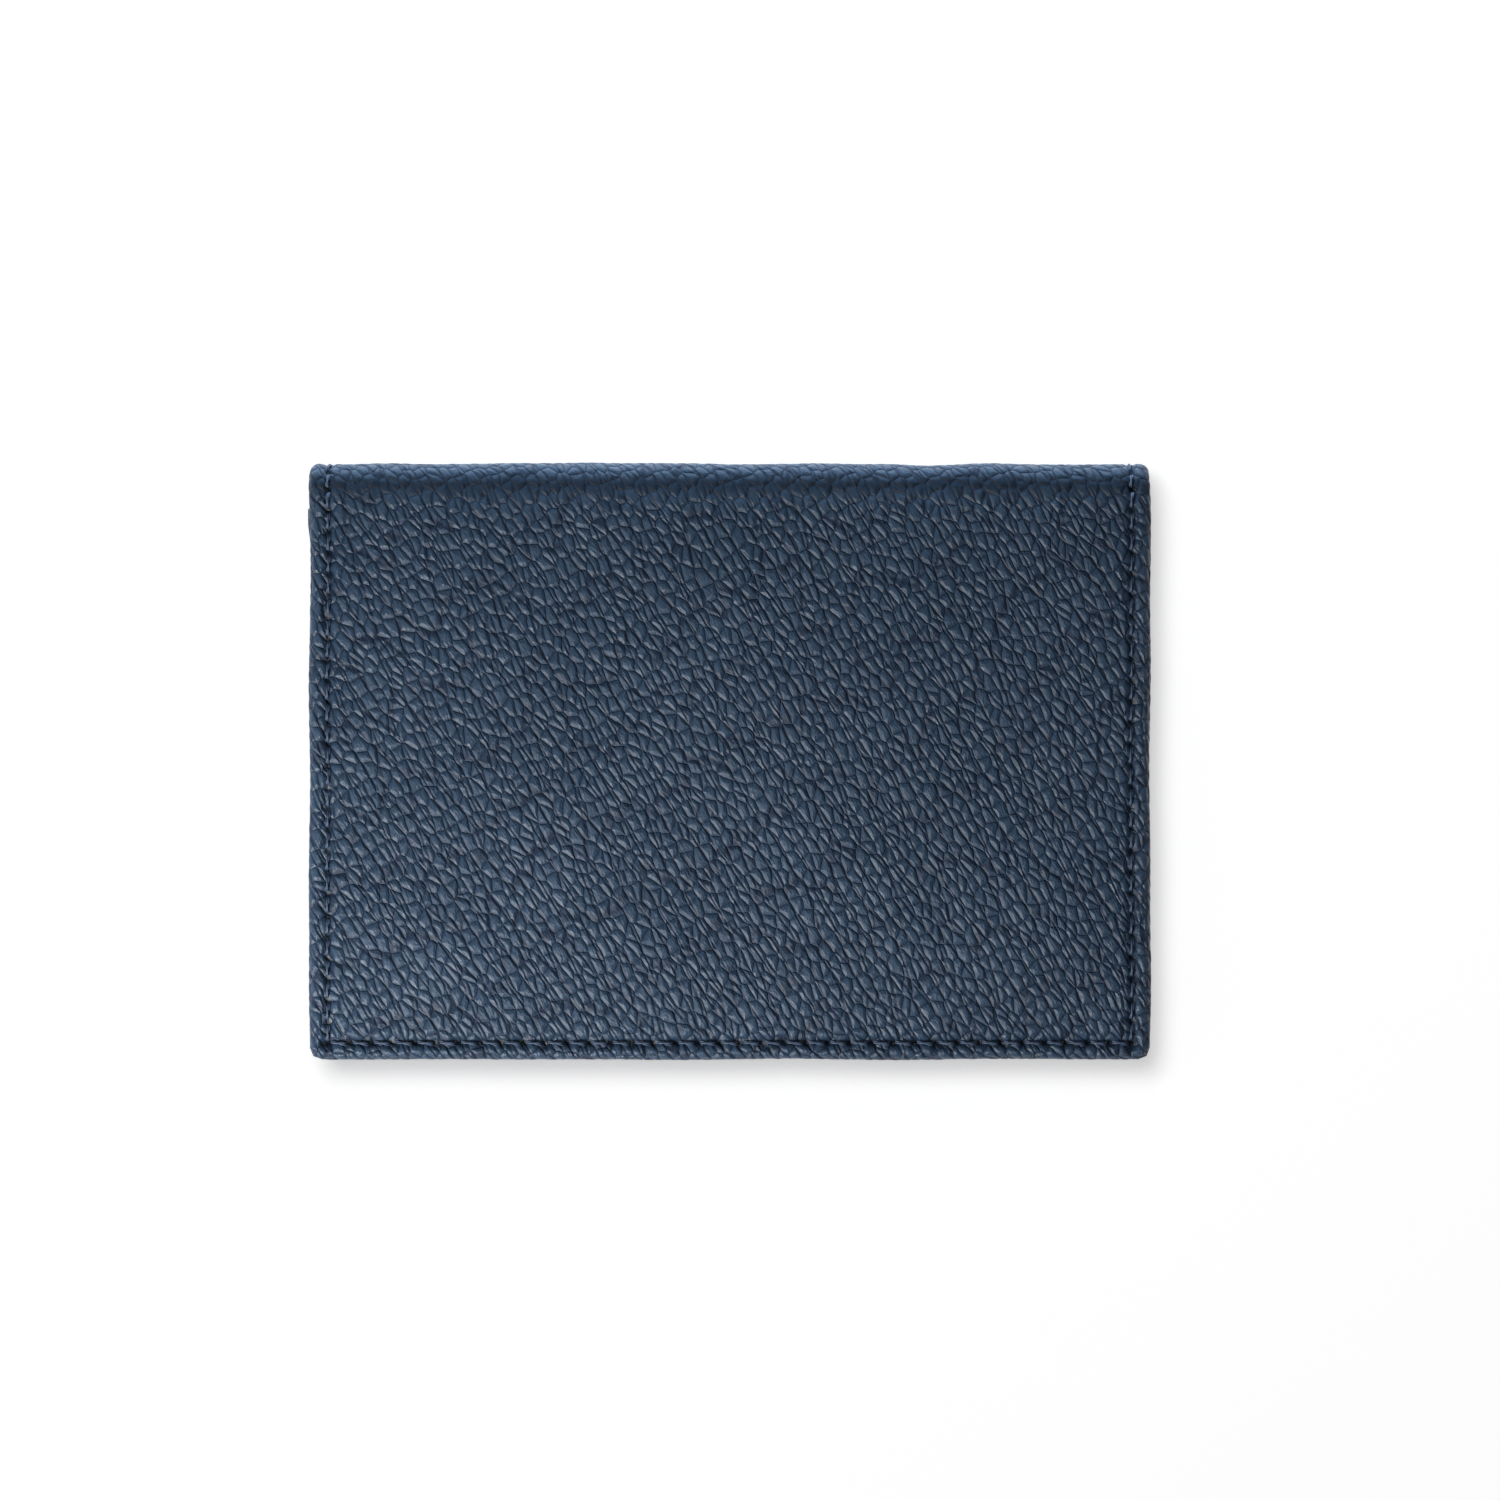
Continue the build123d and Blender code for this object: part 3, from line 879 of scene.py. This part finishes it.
def softCopy(node, name, material, edge=inside["edge"]):
    # a merged copy of the plain shape, its edges rounded and its faces a little uneven
    bm = mergedNode(node)
    bmesh.ops.dissolve_limit(bm, angle_limit=radians(1.5), verts=bm.verts, edges=bm.edges)
    rims = [e for e in bm.edges if e.is_manifold and e.calc_face_angle(0) > radians(50)]
    bmesh.ops.bevel(
        bm, geom=rims, offset=edge, segments=2, profile=0.5, affect="EDGES", material=-1,
        clamp_overlap=True,
    )
    cell = inside["cut"]
    for axis, count in ((0, int(halfWidth / cell)), (1, int(-openEdge / cell))):
        normal = Vector((axis == 0, axis == 1, 0))
        for i in range(-count, count + 1):
            cutAt(bm, normal * (i + inside["cutShift"]) * cell, normal)
    for v in bm.verts:
        v.co.z += undulation(v.co.x, v.co.y)
        if node in ("pocket_panel", "gusset_left"):
            flare(v)
    uv = bm.loops.layers.uv.verify()
    for f in bm.faces:
        for loop in f.loops:
            loop[uv].uv = loop.vert.co.xy
    piece = meshPiece(name, bm, material)
    piece.data.uv_layers[0].name = "hide"
    normals = piece.modifiers.new("normals", "WEIGHTED_NORMAL")
    normals.weight = 80
    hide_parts(node)
    return piece


backLining = softCopy("back_lining", "backLining", weave)
frontLining = softCopy("front_lining", "frontLining", weave)
pocketLiner = softCopy("pocket_liner", "pocketLiner", weave, inside["linerEdge"])
pocketPanel = softCopy("pocket_panel", "pocketPanel", innerLeather)
upperSlot = softCopy("slot_panel_upper", "upperSlot", innerLeather)
lowerSlot = softCopy("slot_panel_lower", "lowerSlot", innerLeather)
for piece, body in (
    (backLining, "back_half"), (frontLining, "front_half"), (pocketLiner, "pocket"),
    (pocketPanel, "pocket"), (upperSlot, "front_half"), (lowerSlot, "front_half"),
):
    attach(piece, body)
for node, name in (
    ("gusset_bottom", "gussetBottom"), ("gusset_left", "gussetLeft"),
    ("gusset_right", "gussetRight"),
):
    gusset = softCopy(node, name, innerLeather, inside["gussetEdge"])
    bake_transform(gusset)
print("linings, pocket and slots made")


def spineLiningHalf(name, front):
    # cut into narrow strips that can bend, and closed across the middle of the spine
    bm = mergedNode("spine_lining")
    strip = inside["spineCut"]
    for i in range(int(caseHeight / strip) + 1):
        cutAt(bm, (0, 0, i * strip), (0, 0, 1))
    cutAt(bm, (0, 0, caseHeight / 2), (0, 0, -1 if front else 1), clear_outer=True)
    rim = [e for e in bm.edges if e.is_boundary]
    bmesh.ops.contextual_create(bm, geom=rim)
    bmesh.ops.recalc_face_normals(bm, faces=bm.faces)
    for e in bm.edges:
        e.smooth = not e.is_manifold or e.calc_face_angle(0) < radians(40)
    piece = meshPiece(name, bm, innerLeather)
    return piece


spineLiningBack = spineLiningHalf("spineLiningBack", False)
spineLiningFront = spineLiningHalf("spineLiningFront", True)
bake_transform(spineLiningBack)
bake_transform(spineLiningFront)
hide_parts("spine_lining")
print("spine lining made")


def straightRuns(points):
    return [(Vector(a), Vector(b)) for a, b in zip(points, points[1:])]


def onFace(z, up):
    def place(x, y, height):
        return Vector((x, y, z + up * (height - stitch["innerDepth"]) + undulation(x, y)))
    return place


notch = {"radius": 12 * mm, "rise": 2.5 * mm}  # the thumb notch, centred above the mouth
seamY = openEdge + seam["openInset"]
mouthLine = panelHigh[1]
mouthSeam = mouthLine - seam["mouthInset"]
notchReach = notch["radius"] + seam["mouthInset"]
notchDrop = notch["rise"] + seam["mouthInset"]
notchMeet = sqrt(notchReach**2 - notchDrop**2)
notchStart = atan2(-notchDrop, -notchMeet) % (2 * pi)
notchEnd = atan2(-notchDrop, notchMeet) % (2 * pi)
arcCount = round((notchEnd - notchStart) * notchReach / seam["pitch"])
arc = [notchStart + (notchEnd - notchStart) * i / arcCount for i in range(arcCount + 1)]
notchTop = mouthLine + notch["rise"]
arcPoints = [(notchReach * cos(a), notchTop + notchReach * sin(a)) for a in arc]


def threeSides(top, bottom):
    # down the left side, along the bottom and up the right side
    return [(-seamU, top), (-seamU, bottom), (seamU, bottom), (seamU, top)]


pocketRuns = straightRuns(threeSides(mouthSeam, seamY))
pocketRuns += straightRuns([(-seamU, mouthSeam), (-notchMeet, mouthSeam)])
pocketRuns += straightRuns(arcPoints)
pocketRuns += straightRuns([(notchMeet, mouthSeam), (seamU, mouthSeam)])
pocketStitching = sewn("pocketStitching", pocketRuns, onFace(panelHigh[2], 1))
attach(pocketStitching, "pocket")
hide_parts("pocket_seam_thread", "pocket_mouth_thread")

legRuns = straightRuns(threeSides(mouthLine, seamY))
legStitching = sewn("legStitching", legRuns, onFace(gussetLow[2] + inside["gussetLeather"], 1))
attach(legStitching, "back_half")

lowerLine, upperLine = lowerSlotHigh[1], upperSlotHigh[1]
lowerSeam, upperSeam = lowerLine - seam["mouthInset"], upperLine - seam["mouthInset"]
lowerRuns = straightRuns(threeSides(lowerSeam, seamY) + [(-seamU, lowerSeam)])
upperRuns = straightRuns(threeSides(lowerLine, upperSeam))
rimRuns = straightRuns([(-seamU, upperLine), (-seamU, foldLine)])
rimRuns += straightRuns([(seamU, upperLine), (seamU, foldLine)])
for name, runs, face in (
    ("lowerSlotStitching", lowerRuns, lowerSlotLow[2]),
    ("upperSlotStitching", upperRuns, upperSlotLow[2]),
    ("frontRimStitching", rimRuns, upperSlotHigh[2]),
):
    stitching = sewn(name, runs, onFace(face, -1))
    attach(stitching, "front_half")
    if name == "lowerSlotStitching":
        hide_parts("slot_mouth_thread")

for node in ("back_board", "front_board", "spine_stiffener"):
    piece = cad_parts[node]
    if not piece.material_slots:
        piece.data.materials.append(greyBoard)
    for slot in piece.material_slots:
        slot.material = greyBoard
print("stitching and boards made")

view = {
    "distance": 0.75,
    "field": 0.187,  # width of the picture at the top of the case
    "sensor": 36,
    "aside": 0.0025,
    "above": 0.0014,
}
floorFinish = {"colour": 0.93, "glow": 0.51, "roughness": 0.9, "specular": 0.1}
floorReach = 3
surroundGlow = 0.09
origin = (0, 0, 0)
softboxes = {  # the rim box lights the round of the fold
    "topBox": {"place": (-0.13, 0.17, 1.0), "target": origin, "size": (0.30, 0.30), "power": 5.0},
    "keyBox": {
        "place": (-0.145, -0.147, 0.135), "target": origin, "size": (0.08, 0.08), "power": 1.0
    },
    "rimBox": {
        "place": (-0.03, 0.30, 0.006), "target": (0, 0, 0.006), "size": (0.4, 0.008), "power": 4.8
    },
}
notReflected = ("topBox", "rimBox")
offTheFloor = ("keyBox", "rimBox")


def addCamera():
    data = bpy.data.cameras.new("camera")
    data.sensor_width = view["sensor"]
    data.lens = view["sensor"] * view["distance"] / view["field"]
    data.clip_start = 0.01
    camera = bpy.data.objects.new("camera", data)
    bpy.context.scene.collection.objects.link(camera)
    camera.location = (view["aside"], view["above"], caseHeight + view["distance"])
    bpy.context.scene.camera = camera


def addSoftbox(name, place, target, size, power):
    data = bpy.data.lights.new(name, "AREA")
    data.shape = "RECTANGLE"
    data.size, data.size_y = size
    data.energy = power
    lamp = bpy.data.objects.new(name, data)
    bpy.context.scene.collection.objects.link(lamp)
    lamp.location = place
    lamp.rotation_euler = (Vector(target) - Vector(place)).to_track_quat("-Z", "Y").to_euler()
    return lamp


def addFloor():
    bm = bmesh.new()
    bmesh.ops.create_grid(bm, x_segments=1, y_segments=1, size=floorReach)
    material, _, shader = newMaterial("paleFloor", floorFinish)
    shade = floorFinish["colour"]
    shader.inputs["Base Color"].default_value = (shade, shade, shade, 1)
    shader.inputs["Emission Color"].default_value = (1, 1, 1, 1)
    shader.inputs["Emission Strength"].default_value = floorFinish["glow"]
    floor = meshPiece("floor", bm, material)
    return floor


def keepOff(floor, lamp):
    # a flag keeps this lamp's light off the floor
    flagged = bpy.data.collections.new(lamp.name + "Flag")
    flagged.objects.link(floor)
    lamp.light_linking.receiver_collection = flagged
    flagged.collection_objects[0].light_linking.link_state = "EXCLUDE"


addCamera()
floor = addFloor()
for name, settings in softboxes.items():
    lamp = addSoftbox(name, **settings)
    if name in notReflected:
        lamp.visible_glossy = False
    if name in offTheFloor:
        keepOff(floor, lamp)
world = bpy.data.worlds.new("studio")
bpy.context.scene.world = world
world.use_nodes = True
background = world.node_tree.nodes["Background"]
background.inputs["Color"].default_value = (1, 1, 1, 1)
background.inputs["Strength"].default_value = surroundGlow
bpy.context.scene.view_settings.view_transform = "Standard"
print("studio set")
